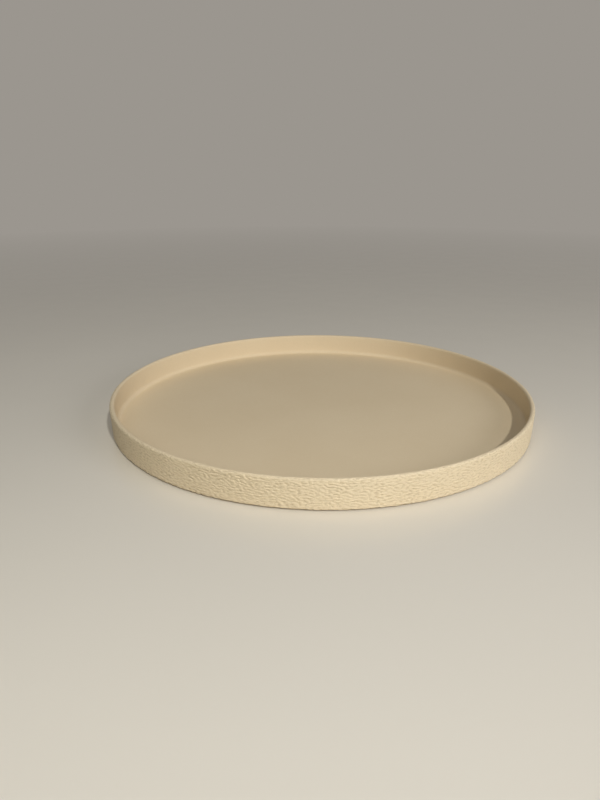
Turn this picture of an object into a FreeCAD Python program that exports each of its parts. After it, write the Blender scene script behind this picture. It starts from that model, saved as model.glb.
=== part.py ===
import FreeCAD, Part
import math
import os

from FreeCAD import Vector

os.makedirs("parts", exist_ok=True)

# A round, shallow serving and display tray, moulded in one piece, on four anti-slip pads.
# All lengths are millimetres. The table top is the plane z = 0 and the tray's axis is Z.

# Driving sizes of the moulding; the rim's diameter is measured to the sharp corner of its section
rim_diameter = 300.0
overall_height = 20.0
wall_thickness = 3.4
floor_thickness = 2.4
outer_draft_degrees = 2.5
inner_draft_degrees = 1.5

# Rounding of the moulding's edges
crest_radius = 1.5
inside_corner_radius = 3.0
base_edge_radius = 0.8

# Anti-slip pads under the floor, each held in a shallow seat by an adhesive disc
pad_diameter = 12.0
pad_thickness = 1.2
pad_edge_radius = 0.4
pad_distance_from_rim = 32.0
adhesive_thickness = 0.15
adhesive_margin = 0.5
seat_depth = 0.45
seat_clearance = 0.3
pad_names = ["back_right", "back_left", "front_left", "front_right"]

# How far a cutting tool starts outside the surface that it cuts
cut_overrun = 1.0

# A rounding takes at most this share of the shorter side that it joins
rounding_limit_share = 0.49

# Places that follow from the sizes above
rim_radius = rim_diameter / 2
pad_radius = pad_diameter / 2
underside_height = pad_thickness + adhesive_thickness - seat_depth
floor_height = underside_height + floor_thickness
wall_height = overall_height - underside_height
well_depth = overall_height - floor_height
pad_circle_radius = rim_radius - pad_distance_from_rim


def rounded_outline(corners):
    """Closed wire in the XZ plane through corners given as (radius, height, rounding)."""
    points = [Vector(radius, 0, height) for radius, height, rounding in corners]
    edges = []
    ends = []
    for index, corner in enumerate(points):
        to_last = points[index - 1] - corner
        to_next = points[(index + 1) % len(points)] - corner
        half_angle = to_last.getAngle(to_next) / 2
        shorter_side = min(to_last.Length, to_next.Length)
        setback = min(corners[index][2] / math.tan(half_angle), shorter_side * rounding_limit_share)
        to_last.normalize()
        to_next.normalize()
        start = corner + to_last * setback
        end = corner + to_next * setback
        if setback > 0:
            radius = setback * math.tan(half_angle)
            inward = to_last + to_next
            inward.normalize()
            middle = corner + inward * (radius / math.sin(half_angle) - radius)
            edges.append(Part.Arc(start, middle, end).toShape())
        ends.append((start, end))
    for index, (start, end) in enumerate(ends):
        following_start = ends[(index + 1) % len(ends)][0]
        edges.append(Part.LineSegment(end, following_start).toShape())
    return Part.Wire(Part.__sortEdges__(edges))


def turned(corners):
    """Solid of revolution about the Z axis, from an outline that starts and ends on the axis."""
    face = Part.Face(rounded_outline(corners))
    return face.revolve(Vector(0, 0, 0), Vector(0, 0, 1), 360)


def pad_places():
    """Name and centre of each pad, evenly spaced on the pad circle."""
    for index, name in enumerate(pad_names):
        angle = 2 * math.pi * (index + 0.5) / len(pad_names)
        yield name, Vector(pad_circle_radius * math.cos(angle), pad_circle_radius * math.sin(angle), 0)


def tray_body():
    """Floor, upright wall with a rounded crest, and a round seat in the underside for each pad."""
    inner_radius = rim_radius - wall_thickness
    base_radius = rim_radius - wall_height * math.tan(math.radians(outer_draft_degrees))
    floor_radius = inner_radius - well_depth * math.tan(math.radians(inner_draft_degrees))
    body = turned([
        (0, underside_height, 0),
        (base_radius, underside_height, base_edge_radius),
        (rim_radius, overall_height, crest_radius),
        (inner_radius, overall_height, crest_radius),
        (floor_radius, floor_height, inside_corner_radius),
        (0, floor_height, 0),
    ])
    seat_radius = pad_radius + seat_clearance
    seat_bottom = Vector(0, 0, underside_height - cut_overrun)
    for name, centre in pad_places():
        seat = Part.makeCylinder(seat_radius, cut_overrun + seat_depth, centre + seat_bottom)
        body = body.cut(seat)
    return body


def foot_pad(centre):
    """Flat round pad whose lower edge is rounded; its lower face rests on the table."""
    pad = turned([
        (0, 0, 0),
        (pad_radius, 0, pad_edge_radius),
        (pad_radius, pad_thickness, 0),
        (0, pad_thickness, 0),
    ])
    pad.translate(centre)
    return pad


def pad_adhesive(centre):
    """Thin adhesive disc between a pad and the ceiling of its seat."""
    disc_radius = pad_radius - adhesive_margin
    return Part.makeCylinder(disc_radius, adhesive_thickness, centre + Vector(0, 0, pad_thickness))


def write_node(name, shape):
    """Write one named piece to its STEP file and print its size."""
    if not shape.isValid():
        raise ValueError(name + " is not a valid solid")
    shape.exportStep("parts/" + name + ".step")
    box = shape.BoundBox
    print("%-26s %8.2f mm3  z %6.2f to %6.2f" % (name, shape.Volume, box.ZMin, box.ZMax))


write_node("tray_body", tray_body())
for place_name, pad_centre in pad_places():
    write_node("foot_pad_" + place_name, foot_pad(pad_centre))
    write_node("pad_adhesive_" + place_name, pad_adhesive(pad_centre))
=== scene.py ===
import math

import bpy
import numpy as np
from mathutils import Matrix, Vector
from mathutils.geometry import delaunay_2d_cdt


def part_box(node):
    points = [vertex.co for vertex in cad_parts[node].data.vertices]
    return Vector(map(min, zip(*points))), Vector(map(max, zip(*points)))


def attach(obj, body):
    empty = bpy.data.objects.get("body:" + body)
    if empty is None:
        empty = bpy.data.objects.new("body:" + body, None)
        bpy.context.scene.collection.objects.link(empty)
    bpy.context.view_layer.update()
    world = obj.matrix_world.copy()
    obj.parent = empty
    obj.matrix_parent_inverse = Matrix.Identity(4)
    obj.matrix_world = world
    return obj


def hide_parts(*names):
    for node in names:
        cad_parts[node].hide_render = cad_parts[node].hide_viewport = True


# A round, shallow decorative tray: a matte cream moulding with a smooth inside, a rounded rim and a
# rough-cast outer face, standing on four anti-slip pads. Lengths are metres, and +Z is up.
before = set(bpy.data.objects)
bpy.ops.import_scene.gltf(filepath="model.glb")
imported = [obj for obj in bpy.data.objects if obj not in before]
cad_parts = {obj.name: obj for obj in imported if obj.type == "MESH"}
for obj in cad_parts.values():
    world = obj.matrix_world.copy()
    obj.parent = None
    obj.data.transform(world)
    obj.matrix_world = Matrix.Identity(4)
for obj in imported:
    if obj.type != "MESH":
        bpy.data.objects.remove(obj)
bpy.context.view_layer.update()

MM = 0.001
TURN = 2 * math.pi
SEED = 4127

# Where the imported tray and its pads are
tray_low, tray_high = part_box("tray_body")
underside_height = tray_low.z
rim_height = tray_high.z
pad_nodes = [
    "foot_pad_back_right",
    "foot_pad_back_left",
    "foot_pad_front_left",
    "foot_pad_front_right",
]
adhesive_nodes = [name.replace("foot_pad", "pad_adhesive") for name in pad_nodes]

# Sizes of the moulding's section
wall_thickness = 3.4 * MM
floor_thickness = 2.4 * MM
outer_draft = math.radians(2.5)
inner_draft = math.radians(1.5)
crest_radius = 1.5 * MM
inside_corner_radius = 3.0 * MM
base_edge_radius = 0.8 * MM
seat_clearance = 0.3 * MM

# The rim's sharp corner lies a little outside the widest point of its rounding
corner_overhang = crest_radius * ((1 + math.sin(outer_draft)) / math.cos(outer_draft) - 1)
widest_radius = min(tray_high.x, tray_high.y, -tray_low.x, -tray_low.y)
rim_radius = widest_radius + corner_overhang
inner_radius = rim_radius - wall_thickness
floor_height = underside_height + floor_thickness
base_radius = rim_radius - (rim_height - underside_height) * math.tan(outer_draft)
floor_radius = inner_radius - (rim_height - floor_height) * math.tan(inner_draft)

# How finely the tray's mesh is divided: each ring outside has four times the points of one inside
outer_segments = 1536
middle_segments = outer_segments // 2
inner_segments = outer_segments // 4
fillet_steps = 6
inner_wall_steps = 4
inner_crest_steps = 6
outer_crest_steps = 5
outer_wall_steps = 45
base_edge_steps = 3
seat_segments = 64

# Rings of points within the floor and the underside, as shares of their radius. Each ring of the
# floor has half the points of the one outside it, and those of the underside stay clear of seats.
floor_ring_shares = (0.97, 0.9, 0.75, 0.45)
underside_ring_shares = (0.93, 0.6, 0.3)
underside_ring_points = 96
clear_of_seat = 2 * MM

# The rough-cast relief of the outer face. It only cuts inward from the smooth envelope. It starts
# and is full at these distances down the section from the lower end of the crest's rounding.
relief_depth = 0.5 * MM
relief_start = -2.36 * MM
relief_full = -1.85 * MM
relief_underside_reach = 0.8 * MM

# The relief's map: its rows and columns, and the height and length of one cell
relief_cells = (256, 3072)
relief_steps = (0.1 * MM, TURN * rim_radius / relief_cells[1])

# Length and height of the relief's patterns: ridges with finer ones among them, patches in which
# they are stronger or weaker, and the sways that make them wind
ridge_size = (3.4 * MM, 1.6 * MM)
fine_ridge_size = (1.6 * MM, 0.9 * MM)
patch_size = (9.0 * MM, 6.0 * MM)
sway_up_size = (4.0 * MM, 2.5 * MM)
sway_along_size = (3.0 * MM, 2.0 * MM)

# How much the ridges differ in size, how strongly they are held level, and how soft the blobs are
# that the patches and sways consist of
ridge_spread = 0.28
fine_ridge_spread = 0.3
ridge_level = 0.3
blob_softness = 2

# How far the sways move the ridges, how much each pattern counts, and how deep the cut is at the
# patterns' middle height and how much it changes with their height, as shares of the full depth
sway_up = 0.2 * MM
sway_along = 0.4 * MM
ridge_share = 0.75
ridge_steepness = 1.4
fine_ridge_share = 0.25
patch_share = 0.15
mean_cut = 0.45
cut_range = 0.5

# Map of the tray's surface for baking: two discs, and each wall in three strips. A point that lies
# more than above_underside over the underside belongs to the ceiling of a seat.
strips = 3
strip_start = math.radians(90)
map_gap = 3.0 * MM
map_side = TURN * rim_radius / strips + 2 * map_gap
floor_scale = 0.6
underside_scale = 0.47
seat_ceiling_scale = 0.85
above_underside = 0.1 * MM

# Colours, as display values from 0 to 255
cream = (223, 204, 171)
cream_pale = (227, 209, 177)
cream_speckle = (218, 199, 165)
cream_rough_cast = (231, 221, 190)
# Painted shade for the hollows of the relief
cream_hollow_shade = (186, 168, 136)
foam = (40, 39, 38)
foam_pale = (52, 50, 48)
# Painted shade for the pores of the foam
foam_pore_shade = (24, 23, 22)
film = (205, 200, 186)
film_pale = (214, 210, 198)
ground = (224, 218, 205)
ground_pale = (227, 221, 208)
backdrop = (155, 150, 143)

# Light, as shares of red, green and blue
warm_light = (1.0, 0.99, 0.95)
cool_light = (0.99, 0.99, 1.05)
plain_light = (1.0, 0.99, 0.99)
world_light = (1.0, 0.985, 0.96)
world_strength = 0.07

# The ground, and how far from the tray it starts and ends to fade into the backdrop
ground_side = 6.0
fade_start = 0.3
fade_end = 1.5

# The camera's place, how many degrees it looks down, and its lens and sensor in millimetres
camera_place = (-0.015, -0.4524, 0.1749)
camera_dip = 20.165
camera_lens = 29.25
camera_sensor = 36.0


# Section of the moulding

def arc_rows(last_corner, corner, next_corner, radius, steps):
    """Points (radius, height) round one rounded corner of the section."""
    to_last = np.array(last_corner) - corner
    to_next = np.array(next_corner) - corner
    to_last = to_last / np.linalg.norm(to_last)
    to_next = to_next / np.linalg.norm(to_next)
    half_angle = math.acos(float(to_last @ to_next)) / 2
    bisector = to_last + to_next
    bisector = bisector / np.linalg.norm(bisector)
    centre = np.array(corner) + bisector * radius / math.sin(half_angle)
    setback = radius / math.tan(half_angle)
    start = np.array(corner) + to_last * setback - centre
    end = np.array(corner) + to_next * setback - centre
    start_angle = math.atan2(start[1], start[0])
    turn = math.atan2(end[1], end[0]) - start_angle
    turn = (turn + math.pi) % TURN - math.pi
    rows = []
    for step in range(steps + 1):
        angle = start_angle + turn * step / steps
        rows.append(centre + radius * np.array([math.cos(angle), math.sin(angle)]))
    return rows


def between_rows(start, end, steps):
    """Points that divide a straight stretch of the section, without its two ends."""
    return [start + (end - start) * step / steps for step in range(1, steps)]


def path_lengths(rows, start):
    """Distance along the section at each row, counted from the given start."""
    steps = np.linalg.norm(np.diff(np.array(rows), axis=0), axis=1)
    return start + np.concatenate([[0], np.cumsum(steps)])


floor_corner = (floor_radius, floor_height)
inner_corner = (inner_radius, rim_height)
outer_corner = (rim_radius, rim_height)
base_corner = (base_radius, underside_height)
floor_middle = (0.0, floor_height)
base_middle = (0.0, underside_height)

fillet = arc_rows(floor_middle, floor_corner, inner_corner, inside_corner_radius, fillet_steps)
inner_crest = arc_rows(floor_corner, inner_corner, outer_corner, crest_radius, inner_crest_steps)
outer_crest = arc_rows(inner_corner, outer_corner, base_corner, crest_radius, outer_crest_steps)
base_edge = arc_rows(outer_corner, base_corner, base_middle, base_edge_radius, base_edge_steps)

inner_rows = fillet + between_rows(fillet[-1], inner_crest[0], inner_wall_steps) + inner_crest
outer_wall = between_rows(outer_crest[-1], base_edge[0], outer_wall_steps)
underside_start = base_edge[-1] - np.array([relief_underside_reach, 0])
outer_rows = outer_crest + outer_wall + base_edge + [underside_start]
top_width = np.linalg.norm(outer_crest[0] - inner_crest[-1])
inner_paths = path_lengths(inner_rows, 0.0)
outer_paths = path_lengths(outer_rows, inner_paths[-1] + top_width)
flat_radius = fillet[0][0]


# Relief of the outer face

def pattern_frequencies(length, height):
    """Frequencies of the relief's map along and up, in waves per length and per height."""
    along = np.fft.rfftfreq(relief_cells[1], relief_steps[1])[None, :] * length
    up = np.fft.fftfreq(relief_cells[0], relief_steps[0])[:, None] * height
    return along, up


def shaped_noise(rng, keep):
    """Seeded noise whose frequencies are weighted by keep, with a spread of one."""
    white = rng.standard_normal(relief_cells)
    made = np.fft.irfft2(np.fft.rfft2(white) * keep, s=relief_cells)
    return made / made.std()


def blob_noise(rng, size):
    """Noise of soft blobs of the given length and height."""
    along, up = pattern_frequencies(*size)
    return shaped_noise(rng, np.exp(-blob_softness * (along ** 2 + up ** 2)))


def ridge_noise(rng, size, spread):
    """Noise of winding ridges about one size apart, which mostly lie level."""
    along, up = pattern_frequencies(*size)
    keep = np.exp(-(((np.hypot(along, up) - 1) / spread) ** 2) / 2)
    return shaped_noise(rng, keep * np.exp(-ridge_level * along ** 2))


def read_map(field, along, up):
    """Value of a periodic map at the given distances, blended between its four nearest cells."""
    rows, columns = field.shape
    u = along / relief_steps[1]
    v = up / relief_steps[0]
    left = np.floor(u).astype(int)
    low = np.floor(v).astype(int)
    u = u - left
    v = v - low
    right = (left + 1) % columns
    left = left % columns
    high = (low + 1) % rows
    low = low % rows
    lower = field[low, left] * (1 - u) + field[low, right] * u
    upper = field[high, left] * (1 - u) + field[high, right] * u
    return lower * (1 - v) + upper * v


def relief_field(along, up):
    """How deep the relief cuts, from 0 on the peaks to 1 in the deepest hollows."""
    rng = np.random.default_rng(SEED)
    up_swing = blob_noise(rng, sway_up_size)
    along_swing = blob_noise(rng, sway_along_size)
    ridges = ridge_noise(rng, ridge_size, ridge_spread)
    fine_ridges = ridge_noise(rng, fine_ridge_size, fine_ridge_spread)
    patches = blob_noise(rng, patch_size)
    swayed_up = up + sway_up * read_map(up_swing, along, up)
    swayed_along = along + sway_along * read_map(along_swing, along, up)
    steep = np.tanh(ridge_steepness * read_map(ridges, swayed_along, swayed_up))
    fine = read_map(fine_ridges, swayed_along, swayed_up)
    height = ridge_share * steep + fine_ridge_share * fine
    height = height * (1 + patch_share * read_map(patches, along, up))
    return np.clip(mean_cut - cut_range * height, 0, 1)


def relieved_rows(rows, paths, segments):
    """Each outer row's points, how deep the relief cuts there, and how far it is faded in."""
    rows = np.array(rows)

    # The relief cuts straight into the section, at right angles to its slope
    slope = np.gradient(rows, axis=0)
    slope = slope / np.linalg.norm(slope, axis=1)[:, None]
    inward = np.stack([slope[:, 1], -slope[:, 0]], axis=1)

    crest_end = paths[outer_crest_steps]
    faded = np.clip((paths - crest_end - relief_start) / (relief_full - relief_start), 0, 1)
    faded = faded * faded * (3 - 2 * faded)

    # The last row lies in the flat underside, where nothing is cut
    faded[-1] = 0
    faded = faded[:, None] + np.zeros((1, segments))
    angles = TURN * np.arange(segments) / segments
    along = (angles * rim_radius)[None, :] + np.zeros((len(rows), 1))
    up = paths[:, None] + np.zeros((1, segments))
    depth = relief_field(along, up) * faded
    radius = rows[:, :1] + inward[:, :1] * depth * relief_depth
    height = rows[:, 1:] + inward[:, 1:] * depth * relief_depth
    places = np.stack([radius * np.cos(angles), radius * np.sin(angles), height], axis=2)
    return places, depth, faded


# Mesh of the tray

def pad_place(pad):
    """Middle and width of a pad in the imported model."""
    low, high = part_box(pad)
    return (low + high) / 2, high.x - low.x


class Builder:
    """Collects the points, faces and point values of one mesh, and the map chart of each face."""

    def __init__(self):
        self.points = []
        self.depths = []
        self.roughs = []
        self.paths = []
        self.faces = []
        self.charts = []

    def add(self, places, path=0.0, depths=None, roughs=None):
        """Adds points and returns their numbers."""
        first = len(self.points)
        none = [0.0] * len(places)
        self.points.extend(tuple(float(value) for value in place) for place in places)
        self.depths.extend(none if depths is None else depths)
        self.roughs.extend(none if roughs is None else roughs)
        self.paths.extend([path] * len(places))
        return list(range(first, len(self.points)))

    def ring(self, radius, height, segments, path=0.0, middle=(0.0, 0.0)):
        """Adds a level circle of points round the given middle."""
        angles = TURN * np.arange(segments) / segments
        x = middle[0] + radius * np.cos(angles)
        y = middle[1] + radius * np.sin(angles)
        return self.add(np.stack([x, y, np.full(segments, height)], axis=1), path)

    def face(self, chart, *corners):
        """Adds a face to a chart of the map."""
        self.faces.append(corners)
        self.charts.append(chart)

    def band(self, chart, first, second):
        """Joins two rings of equal count; the second lies further along the section."""
        for i in range(len(first)):
            j = (i + 1) % len(first)
            self.face(chart, first[i], second[i], second[j], first[j])

    def widening_band(self, chart, coarse, fine):
        """Joins a ring to the next one along the section, which has twice its count."""
        for i in range(len(coarse)):
            j = (i + 1) % len(coarse)
            before, middle, after = fine[2 * i], fine[2 * i + 1], fine[(2 * i + 2) % len(fine)]
            self.face(chart, coarse[i], before, middle)
            self.face(chart, coarse[i], middle, coarse[j])
            self.face(chart, coarse[j], middle, after)

    def fan(self, chart, middle, ring):
        """Fills a ring with triangles round its middle point."""
        for i in range(len(ring)):
            self.face(chart, middle, ring[i], ring[(i + 1) % len(ring)])


def add_floor(made):
    """Flat floor in rings that get coarser toward the middle. Returns its outer ring."""
    rings = [made.ring(flat_radius, floor_height, inner_segments)]
    for halvings, share in enumerate(floor_ring_shares, 1):
        rings.append(made.ring(flat_radius * share, floor_height, inner_segments // 2 ** halvings))
    middle = made.add([(0.0, 0.0, floor_height)])[0]
    made.fan("floor", middle, rings[-1])
    for coarse, fine in zip(rings[:0:-1], rings[-2::-1]):
        made.widening_band("floor", coarse, fine)
    return rings[0]


def add_walls(made, last):
    """Inner wall and crest, then the relieved outer face. Returns its ring in the underside."""
    for (radius, height), path in list(zip(inner_rows, inner_paths))[1:]:
        segments = middle_segments if path == inner_paths[-1] else inner_segments
        ring = made.ring(radius, height, segments, path)
        join = made.widening_band if segments > len(last) else made.band
        join("inside", last, ring)
        last = ring
    outer = []
    places, depths, roughs = relieved_rows(outer_rows, outer_paths, outer_segments)
    for place, path, depth, rough in zip(places, outer_paths, depths, roughs):
        outer.append(made.add(place, path, list(depth), list(rough)))
    made.widening_band("inside", last, outer[0])
    for first, second in zip(outer, outer[1:]):
        made.band("outside", first, second)
    return outer[-1]


def add_seats(made):
    """Round seat for each pad. Returns each seat's middle, radius, lower ring and upper ring."""
    seats = []
    for pad, adhesive in zip(pad_nodes, adhesive_nodes):
        middle, width = pad_place(pad)
        radius = width / 2 + seat_clearance
        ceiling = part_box(adhesive)[1].z
        mouth = made.ring(radius, underside_height, seat_segments, middle=middle)
        top = made.ring(radius, ceiling, seat_segments, middle=middle)
        hub = made.add([(middle.x, middle.y, ceiling)])[0]
        made.band("underside", mouth, top)
        made.fan("underside", hub, top[::-1])
        seats.append((Vector(middle[:2]), radius, mouth, top))
    return seats


def add_underside(made, boundary):
    """Flat underside with its seats. Returns the rings of points that bound flat faces."""
    seats = add_seats(made)
    numbers = []
    edges = []
    for ring in [boundary] + [mouth for _, _, mouth, _ in seats]:
        first = len(numbers)
        edges.extend((first + i, first + (i + 1) % len(ring)) for i in range(len(ring)))
        numbers.extend(ring)
    flat = [Vector(made.points[number][:2]) for number in numbers]

    # A few points inside keep the underside's triangles from growing too thin
    for share in underside_ring_shares:
        for i in range(underside_ring_points):
            angle = TURN * (i + 0.5) / underside_ring_points
            place = Vector((math.cos(angle), math.sin(angle))) * base_radius * share
            clear = min((place - middle).length - radius for middle, radius, _, _ in seats)
            if clear > clear_of_seat:
                numbers.extend(made.add([(place.x, place.y, underside_height)]))
                flat.append(place)

    # The underside is divided into triangles, and those that would close a seat are left out
    only_inside = 1
    same_place = 1e-9
    points, _, triangles, origin, _, _ = delaunay_2d_cdt(flat, edges, [], only_inside, same_place)
    facet_share = math.cos(math.pi / seat_segments)
    names = [numbers[source[0]] for source in origin]
    for a, b, c in triangles:
        place = (points[a] + points[b] + points[c]) / 3
        if all((place - middle).length > radius * facet_share for middle, radius, _, _ in seats):
            made.face("underside", names[a], names[c], names[b])
    return [boundary] + [ring for _, _, mouth, top in seats for ring in (mouth, top)]


def tray_mesh():
    """One closed mesh of the whole moulding, with the relief cut into its outer face."""
    made = Builder()
    boundary = add_walls(made, add_floor(made))
    sharp_rings = add_underside(made, boundary)
    mesh = bpy.data.meshes.new("tray_shell")
    mesh.from_pydata(made.points, [], made.faces)
    mesh.update()
    for name, values in (("relief", made.depths), ("rough_cast", made.roughs)):
        attribute = mesh.attributes.new(name, "FLOAT", "POINT")
        attribute.data.foreach_set("value", np.array(values, np.float32))
    mesh.shade_smooth()
    sharp = {frozenset((a, b)) for ring in sharp_rings for a, b in zip(ring, ring[1:] + ring[:1])}
    marks = mesh.attributes.new("sharp_edge", "BOOLEAN", "EDGE")
    marks.data.foreach_set("value", [frozenset(edge.vertices) in sharp for edge in mesh.edges])
    add_map(mesh, made)
    return mesh


def add_map(mesh, made):
    """Lays the map out in a square and stores it scaled to one."""
    corners = np.empty(len(mesh.loops), int)
    mesh.loops.foreach_get("vertex_index", corners)
    sizes = np.array([len(face) for face in made.faces])
    starts = np.concatenate([[0], np.cumsum(sizes)[:-1]])
    charts = np.repeat(np.array(made.charts), sizes)
    points = np.array(made.points)[corners]
    paths = np.array(made.paths)[corners]
    x, y, z = points.T
    angles = np.arctan2(y, x)

    # Each face lies wholly in the strip that holds its middle
    middles = np.arctan2(
        np.add.reduceat(np.sin(angles), starts),
        np.add.reduceat(np.cos(angles), starts),
    )
    middles = np.repeat((middles - strip_start) % TURN, sizes)
    strip = np.minimum((middles / (TURN / strips)).astype(int), strips - 1)
    turned = (angles - strip_start - middles + math.pi) % TURN - math.pi + middles
    along = (turned - strip * TURN / strips) * rim_radius

    floor_radius_on_map = flat_radius * floor_scale
    underside_radius_on_map = base_radius * underside_scale
    inside_height = outer_paths[0] + map_gap
    outside_height = outer_paths[-1] - outer_paths[0] + map_gap
    outside_base = map_gap + strips * inside_height
    discs_base = outside_base + strips * outside_height
    u = np.empty(len(corners))
    v = np.empty(len(corners))

    here = charts == "inside"
    u[here] = map_side - map_gap - along[here]
    v[here] = map_gap + strip[here] * inside_height + paths[here]

    here = charts == "outside"
    strip_tops = outside_base + (strip[here] + 1) * outside_height
    u[here] = map_gap + along[here]
    v[here] = strip_tops - map_gap - paths[here] + outer_paths[0]

    here = charts == "floor"
    u[here] = map_gap + floor_radius_on_map + x[here] * floor_scale
    v[here] = discs_base + floor_radius_on_map + y[here] * floor_scale

    # A seat's ceiling is drawn smaller than its mouth, so that its wall has room between them
    here = charts == "underside"
    for pad in pad_nodes:
        middle, width = pad_place(pad)
        near = np.hypot(x - middle.x, y - middle.y) < width
        raised = here & near & (z > underside_height + above_underside)
        x = np.where(raised, middle.x + (x - middle.x) * seat_ceiling_scale, x)
        y = np.where(raised, middle.y + (y - middle.y) * seat_ceiling_scale, y)
    u[here] = map_side - map_gap - underside_radius_on_map - x[here] * underside_scale
    v[here] = discs_base + underside_radius_on_map + y[here] * underside_scale

    layer = mesh.uv_layers.new(name="OFBake")
    layer.data.foreach_set("uv", (np.stack([u, v], axis=1) / map_side).ravel())


# Materials

# The range in which nearly all of a noise's values lie, and the range of a whole blend
noise_middle = (0.3, 0.7)
whole = (0.0, 1.0)


def new_material(name):
    """Empty node material with its shader, ready for links."""
    material = bpy.data.materials.new(name)
    material.use_nodes = True
    tree = material.node_tree
    tree.nodes.clear()
    output = tree.nodes.new("ShaderNodeOutputMaterial")
    shader = tree.nodes.new("ShaderNodeBsdfPrincipled")
    tree.links.new(shader.outputs["BSDF"], output.inputs["Surface"])
    return material, tree, shader


def linear(colour):
    """Scene colour of a display colour."""
    made = []
    for value in colour:
        value = value / 255
        made.append(value / 12.92 if value <= 0.04045 else ((value + 0.055) / 1.055) ** 2.4)
    return (*made, 1.0)


def own_coordinates(tree):
    """The object's own coordinates, in metres."""
    return tree.nodes.new("ShaderNodeTexCoord").outputs["Object"]


def noise(tree, scale, detail=2.0, roughness=0.5, stretch=(1, 1, 1)):
    """Noise texture over the object's own coordinates."""
    mapping = tree.nodes.new("ShaderNodeMapping")
    mapping.inputs["Scale"].default_value = stretch
    texture = tree.nodes.new("ShaderNodeTexNoise")
    texture.inputs["Scale"].default_value = scale
    texture.inputs["Detail"].default_value = detail
    texture.inputs["Roughness"].default_value = roughness
    tree.links.new(own_coordinates(tree), mapping.inputs["Vector"])
    tree.links.new(mapping.outputs["Vector"], texture.inputs["Vector"])
    return texture.outputs["Fac"]


def attribute_value(tree, name):
    """Value of a point attribute of the mesh."""
    node = tree.nodes.new("ShaderNodeAttribute")
    node.attribute_name = name
    return node.outputs["Fac"]


def remap(tree, value, old, new):
    """Maps a value from one range to another, held at the ends."""
    node = tree.nodes.new("ShaderNodeMapRange")
    node.inputs["From Min"].default_value, node.inputs["From Max"].default_value = old
    node.inputs["To Min"].default_value, node.inputs["To Max"].default_value = new
    tree.links.new(value, node.inputs["Value"])
    return node.outputs["Result"]


def maths(tree, operation, first, second):
    """One step of arithmetic on two values, each a socket or a number."""
    node = tree.nodes.new("ShaderNodeMath")
    node.operation = operation
    for socket, value in zip(node.inputs, (first, second)):
        if isinstance(value, (int, float)):
            socket.default_value = value
        else:
            tree.links.new(value, socket)
    return node.outputs["Value"]


def mix_colour(tree, share, first, second):
    """Blend of two colours, each a socket or a colour."""
    node = tree.nodes.new("ShaderNodeMix")
    node.data_type = "RGBA"
    tree.links.new(share, node.inputs["Factor"])

    # The node repeats its sockets for every kind of data, and these are the ones for colours
    first_socket, second_socket, result = node.inputs[6], node.inputs[7], node.outputs[2]
    for socket, value in ((first_socket, first), (second_socket, second)):
        if isinstance(value, tuple):
            socket.default_value = value
        else:
            tree.links.new(value, socket)
    return result


def mix_shader(tree, share, first, second):
    """Blend of two shaders."""
    node = tree.nodes.new("ShaderNodeMixShader")
    tree.links.new(share, node.inputs["Fac"])
    for socket, shader in zip(node.inputs[1:], (first, second)):
        tree.links.new(shader, socket)
    return node.outputs["Shader"]


def bump(tree, height, distance, below=None):
    """Bump normal of a height given as 0 to 1 over the distance."""
    node = tree.nodes.new("ShaderNodeBump")
    node.inputs["Distance"].default_value = distance
    tree.links.new(height, node.inputs["Height"])
    if below is not None:
        tree.links.new(below, node.inputs["Normal"])
    return node.outputs["Normal"]


def shell_material():
    """Matte cream moulding, softly mottled and finely speckled.

    The rough-cast face is a little paler and sandy, and its hollows are duller and darkened by
    painted shade.
    """
    material, tree, shader = new_material("cream_shell")
    rough_cast = attribute_value(tree, "rough_cast")
    # The deeper the relief, the more painted shade darkens the colour, and the duller the finish
    hollow_shade_and_dullness = remap(tree, attribute_value(tree, "relief"), (0.5, 1.0), (0.0, 0.6))

    mottle = remap(tree, noise(tree, scale=14.0, detail=3.0), noise_middle, whole)
    speckle = remap(tree, noise(tree, scale=900.0, roughness=0.6), (0.35, 0.65), (0.0, 0.35))
    paler = maths(tree, "MULTIPLY", rough_cast, 0.2)
    mottled = mix_colour(tree, mottle, linear(cream), linear(cream_pale))
    speckled = mix_colour(tree, speckle, mottled, linear(cream_speckle))
    faced = mix_colour(tree, paler, speckled, linear(cream_rough_cast))
    # Painted shade in the relief's hollows
    colour = mix_colour(tree, hollow_shade_and_dullness, faced, linear(cream_hollow_shade))
    tree.links.new(colour, shader.inputs["Base Color"])

    rough = remap(tree, noise(tree, scale=260.0, detail=3.0), noise_middle, (0.56, 0.68))
    tree.links.new(maths(tree, "ADD", rough, hollow_shade_and_dullness), shader.inputs["Roughness"])
    shader.inputs["Specular IOR Level"].default_value = 0.4

    sand = noise(tree, scale=1500.0, roughness=0.6, stretch=(0.6, 0.6, 1.0))
    fine = bump(tree, noise(tree, scale=2600.0, detail=3.0, roughness=0.6), 0.018 * MM)
    soft = bump(tree, noise(tree, scale=420.0), 0.03 * MM, fine)
    sandy = bump(tree, maths(tree, "MULTIPLY", sand, rough_cast), 0.3 * MM, soft)
    tree.links.new(sandy, shader.inputs["Normal"])
    return material


def pad_material():
    """Matte charcoal foam rubber with small pores, which painted shade darkens."""
    material, tree, shader = new_material("foam_pad")
    pores = tree.nodes.new("ShaderNodeTexVoronoi")
    pores.inputs["Scale"].default_value = 1800.0
    tree.links.new(own_coordinates(tree), pores.inputs["Vector"])
    solid = remap(tree, pores.outputs["Distance"], (0.1, 0.6), whole)
    cloud = remap(tree, noise(tree, scale=300.0, detail=3.0), noise_middle, whole)
    clouded = mix_colour(tree, cloud, linear(foam), linear(foam_pale))
    # The pores are darkened with painted shade
    colour = mix_colour(tree, solid, linear(foam_pore_shade), clouded)
    tree.links.new(colour, shader.inputs["Base Color"])
    tree.links.new(remap(tree, solid, whole, (0.95, 0.78)), shader.inputs["Roughness"])
    shader.inputs["Specular IOR Level"].default_value = 0.3
    tree.links.new(bump(tree, solid, 0.05 * MM), shader.inputs["Normal"])
    return material


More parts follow.
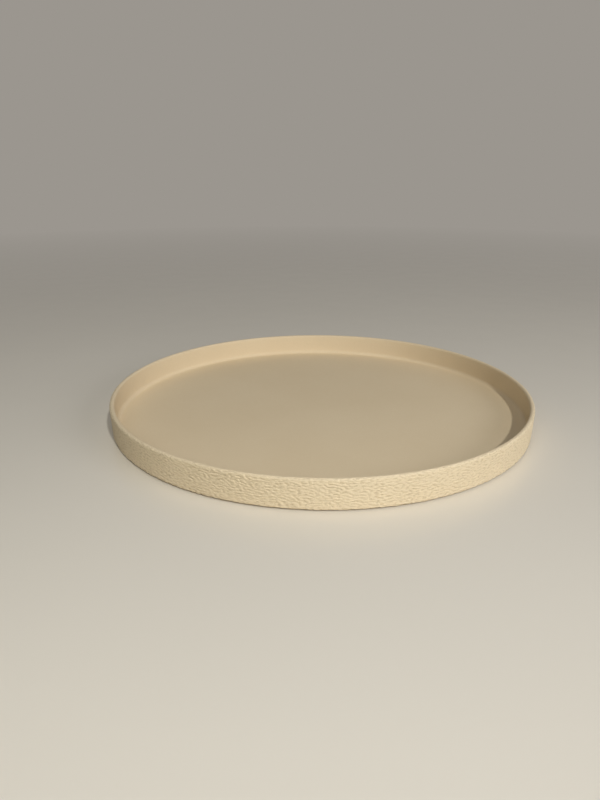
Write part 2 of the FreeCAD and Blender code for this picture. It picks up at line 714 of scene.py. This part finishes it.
def adhesive_material():
    """Milky acrylic film with faint clouding."""
    material, tree, shader = new_material("adhesive_film")
    cloud = remap(tree, noise(tree, scale=500.0, detail=3.0), noise_middle, whole)
    colour = mix_colour(tree, cloud, linear(film), linear(film_pale))
    tree.links.new(colour, shader.inputs["Base Color"])
    tree.links.new(remap(tree, cloud, whole, (0.35, 0.5)), shader.inputs["Roughness"])
    tree.links.new(bump(tree, noise(tree, scale=1500.0), 0.01 * MM), shader.inputs["Normal"])
    return material


def ground_material():
    """Plain pale satin surface with a very faint unevenness."""
    material, tree, shader = new_material("pale_floor")
    cloud = remap(tree, noise(tree, scale=3.0), noise_middle, whole)
    colour = mix_colour(tree, cloud, linear(ground), linear(ground_pale))
    tree.links.new(colour, shader.inputs["Base Color"])
    rough = remap(tree, noise(tree, scale=30.0, detail=3.0), noise_middle, (0.2, 0.24))
    tree.links.new(rough, shader.inputs["Roughness"])

    # Far from the tray the ground fades into the plain backdrop, for the camera only
    plain = tree.nodes.new("ShaderNodeEmission")
    plain.inputs["Color"].default_value = linear(backdrop)
    distance = tree.nodes.new("ShaderNodeVectorMath")
    distance.operation = "LENGTH"
    tree.links.new(own_coordinates(tree), distance.inputs[0])
    far = remap(tree, distance.outputs["Value"], (fade_start, fade_end), whole)
    path = tree.nodes.new("ShaderNodeLightPath")
    share = maths(tree, "MULTIPLY", far, path.outputs["Is Camera Ray"])
    both = mix_shader(tree, share, shader.outputs["BSDF"], plain.outputs["Emission"])
    output = next(node for node in tree.nodes if node.type == "OUTPUT_MATERIAL")
    tree.links.new(both, output.inputs["Surface"])
    return material


# Pieces

tray = bpy.data.objects.new("tray_shell", tray_mesh())
bpy.context.scene.collection.objects.link(tray)
tray.data.materials.append(shell_material())
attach(tray, "root")
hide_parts("tray_body")

for names, finish in ((pad_nodes, pad_material()), (adhesive_nodes, adhesive_material())):
    for name in names:
        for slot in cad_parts[name].material_slots:
            slot.material = finish

# Ground, lamps, backdrop and camera

half = ground_side / 2
ground_corners = [(-half, -half, 0), (half, -half, 0), (half, half, 0), (-half, half, 0)]
floor_mesh = bpy.data.meshes.new("floor")
floor_mesh.from_pydata(ground_corners, [], [(0, 1, 2, 3)])
floor_mesh.materials.append(ground_material())
floor = bpy.data.objects.new("floor", floor_mesh)
bpy.context.scene.collection.objects.link(floor)


def add_lamp(name, azimuth, elevation, distance, size, irradiance, colour):
    """Area lamp that points at the tray; irradiance is what it gives a surface facing it there."""
    data = bpy.data.lights.new(name, "AREA")
    data.shape = "ELLIPSE"
    data.size, data.size_y = size
    data.energy = irradiance * math.pi * distance ** 2
    data.color = colour
    lamp = bpy.data.objects.new(name, data)
    a = math.radians(azimuth)
    e = math.radians(elevation)
    lamp.location = (
        distance * math.sin(a) * math.cos(e),
        -distance * math.cos(a) * math.cos(e),
        distance * math.sin(e),
    )
    toward_tray = Vector((0, 0, 0)) - lamp.location
    lamp.rotation_euler = toward_tray.to_track_quat("-Z", "Y").to_euler()
    lamp.visible_camera = False
    lamp.visible_glossy = False
    bpy.context.scene.collection.objects.link(lamp)


add_lamp(
    "key", azimuth=21, elevation=41, distance=3.0,
    size=(0.15, 0.15), irradiance=1.21, colour=warm_light,
)
add_lamp(
    "right_fill", azimuth=48, elevation=22, distance=1.0,
    size=(0.6, 0.4), irradiance=0.96, colour=cool_light,
)
add_lamp(
    "left_fill", azimuth=-11, elevation=32, distance=0.68,
    size=(0.4, 0.3), irradiance=0.72, colour=warm_light,
)
add_lamp(
    "top_light", azimuth=0, elevation=85, distance=1.6,
    size=(1.0, 1.0), irradiance=0.22, colour=plain_light,
)


def add_world():
    """Faint light from all round. The camera and reflections see the plain backdrop instead."""
    world = bpy.data.worlds.new("studio")
    world.use_nodes = True
    tree = world.node_tree
    background = tree.nodes["Background"]
    background.inputs["Color"].default_value = (*world_light, 1.0)
    background.inputs["Strength"].default_value = world_strength
    shown = tree.nodes.new("ShaderNodeBackground")
    shown.inputs["Color"].default_value = linear(backdrop)
    shown.inputs["Strength"].default_value = 1.0
    path = tree.nodes.new("ShaderNodeLightPath")
    seen = maths(tree, "MAXIMUM", path.outputs["Is Camera Ray"], path.outputs["Is Glossy Ray"])
    both = mix_shader(tree, seen, background.outputs["Background"], shown.outputs["Background"])
    tree.links.new(both, tree.nodes["World Output"].inputs["Surface"])
    bpy.context.scene.world = world


add_world()

camera_data = bpy.data.cameras.new("camera")
camera_data.sensor_width = camera_sensor
camera_data.lens = camera_lens
camera = bpy.data.objects.new("camera", camera_data)
camera.location = camera_place
camera.rotation_euler = (math.radians(90 - camera_dip), 0, 0)
bpy.context.scene.collection.objects.link(camera)
bpy.context.scene.camera = camera

bpy.context.scene.view_settings.view_transform = "Standard"
